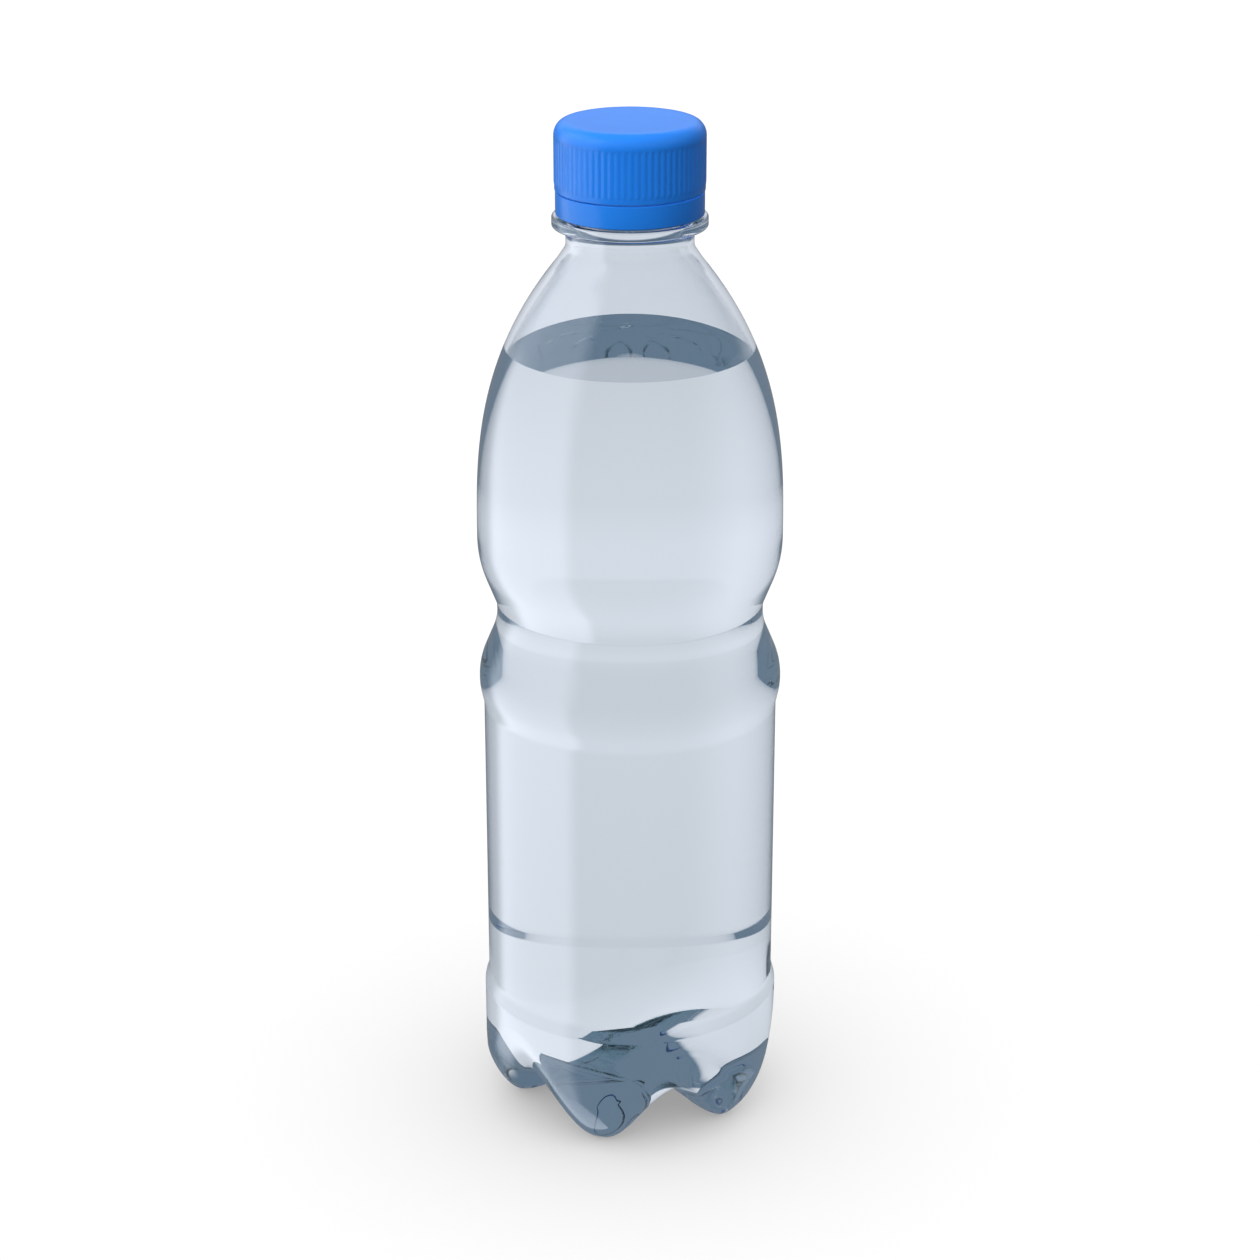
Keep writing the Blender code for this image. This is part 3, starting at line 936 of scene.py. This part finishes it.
def light_seen_through(world, steps, seen_by):
    """A pale wall behind, which is brighter to the left and falls off to dim sides, with slate above
    the horizon. Light that was never reflected meets a pale wall in front as well. Light turned back
    inside the drink, which is reflected and has crossed many faces, is slate."""
    multiply = {"operation": "MULTIPLY"}
    reflections = (seen_by, "Glossy Depth")
    straight = add_node(world, "ShaderNodeMath", {"operation": "LESS_THAN"}, {1: 0.5}, {0: reflections})
    front = add_node(world, "ShaderNodeMath", multiply, links={0: steps["wall in front"], 1: (straight, 0)})
    wall = add_node(
        world, "ShaderNodeMath", {"operation": "MAXIMUM"}, links={0: steps["wall"], 1: (front, 0)}
    )
    fallen = add_node(world, "ShaderNodeMath", multiply, links={0: (wall, 0), 1: steps["floor fall"]})
    level = add_node(world, "ShaderNodeMath", multiply, links={0: (fallen, 0), 1: steps["glow"]})
    lit_wall = add_node(
        world, "ShaderNodeVectorMath", {"operation": "SCALE"}, {0: STUDIO_TINT}, {"Scale": (level, 0)}
    )
    seen = add_node(
        world,
        "ShaderNodeMix",
        {"data_type": "RGBA"},
        {"B": (*SLATE, 1.0)},
        {"Factor": steps["slate"], "A": (lit_wall, 0)},
    )
    reflected = add_node(
        world, "ShaderNodeMath", {"operation": "GREATER_THAN"}, {1: 0.5}, {0: reflections}
    )
    deep = add_node(
        world,
        "ShaderNodeMath",
        {"operation": "GREATER_THAN"},
        {1: DEEP_FACES},
        {0: (seen_by, "Transmission Depth")},
    )
    trapped = add_node(world, "ShaderNodeMath", multiply, links={0: (reflected, 0), 1: (deep, 0)})
    through = add_node(
        world,
        "ShaderNodeMix",
        {"data_type": "RGBA"},
        {"B": (*SLATE_TRAPPED, 1.0)},
        {"Factor": (trapped, 0), "A": (seen, MIXED)},
    )
    return through, MIXED


def light_mirrored(world, steps):
    """Below the horizon a dark table with the softbox's shine on it, above it a pale wall behind and
    the bright softbox at the left, and a dim room overhead."""
    softbox = add_node(
        world,
        "ShaderNodeMath",
        {"operation": "MULTIPLY"},
        links={0: steps["softbox near"], 1: steps["softbox far"]},
    )
    shine = add_node(
        world,
        "ShaderNodeMapRange",
        {"interpolation_type": "SMOOTHSTEP"},
        {"To Min": DARK_TABLE, "To Max": SOFTBOX},
        {"Value": (softbox, 0)},
    )
    table = add_node(
        world, "ShaderNodeVectorMath", {"operation": "SCALE"}, {0: STUDIO_TINT}, {"Scale": (shine, 0)}
    )
    wall = add_node(
        world,
        "ShaderNodeVectorMath",
        {"operation": "SCALE"},
        {0: STUDIO_TINT},
        {"Scale": steps["mirrored wall"]},
    )
    walls = add_node(
        world,
        "ShaderNodeMix",
        {"data_type": "RGBA"},
        {"B": (*(SOFTBOX * tint for tint in STUDIO_TINT), 1.0)},
        {"Factor": (softbox, 0), "A": (wall, 0)},
    )
    around = add_node(
        world,
        "ShaderNodeMix",
        {"data_type": "RGBA"},
        links={"Factor": steps["horizon"], "A": (table, 0), "B": (walls, MIXED)},
    )
    mirrored = add_node(
        world,
        "ShaderNodeMix",
        {"data_type": "RGBA"},
        {"B": (*DIM_ROOM, 1.0)},
        {"Factor": steps["softbox top"], "A": (around, MIXED)},
    )
    return mirrored, MIXED


def add_surroundings():
    """Studio around the bottle, as a colour for each direction: white to the camera itself, one set
    of levels for light that comes through the clear pieces, and another for light mirrored in them."""
    world = bpy.data.worlds.new("studio")
    world.use_nodes = True
    world.node_tree.nodes.clear()
    seen_by = add_node(world, "ShaderNodeLightPath")
    steps = studio_edges(world)
    lit = add_node(
        world,
        "ShaderNodeMix",
        {"data_type": "RGBA"},
        links={
            "Factor": (seen_by, "Is Transmission Ray"),
            "A": light_mirrored(world, steps),
            "B": light_seen_through(world, steps, seen_by),
        },
    )
    shown = add_node(
        world,
        "ShaderNodeMix",
        {"data_type": "RGBA"},
        {"B": (1.0, 1.0, 1.0, 1.0)},
        {"Factor": (seen_by, "Is Camera Ray"), "A": (lit, MIXED)},
    )
    background = add_node(world, "ShaderNodeBackground", links={"Color": (shown, MIXED)})
    add_node(world, "ShaderNodeOutputWorld", links={"Surface": (background, 0)})
    bpy.context.scene.world = world
    world.cycles_visibility.diffuse = False
    bpy.context.scene.view_settings.view_transform = "Standard"


def set_light_paths():
    """Light crosses many clear faces in the base, and needs enough bounces to get out of it."""
    paths = bpy.context.scene.cycles
    paths.max_bounces = MOST_BOUNCES
    paths.transmission_bounces = MOST_BOUNCES
    paths.glossy_bounces = MOST_BOUNCES
    paths.caustics_refractive = False
    paths.caustics_reflective = False


def main():
    """The five pieces, then the stage."""
    build_bottle(
        blow_moulded_pet("blow-moulded clear PET", "#feffff", PET_IOR),
        blow_moulded_pet("blow-moulded clear PET wetted inside", "#feffff", PET_IOR / WATER_IOR),
    )
    build_water(
        still_water("still drinking water", "#feffff", "#fdfeff", WATER_IOR),
        still_water("still drinking water against the wall", "#ffffff", "#feffff", 1.0),
    )
    build_cap(moulded_polyethylene("moulded blue HDPE cap", "#1e79df", "#217ce3"))
    build_band(moulded_polyethylene("moulded blue HDPE band", "#1d78db", "#207bdf"))
    build_liner(foamed_liner())
    add_camera()
    add_lamps()
    add_surroundings()
    set_light_paths()
    add_floor()


main()
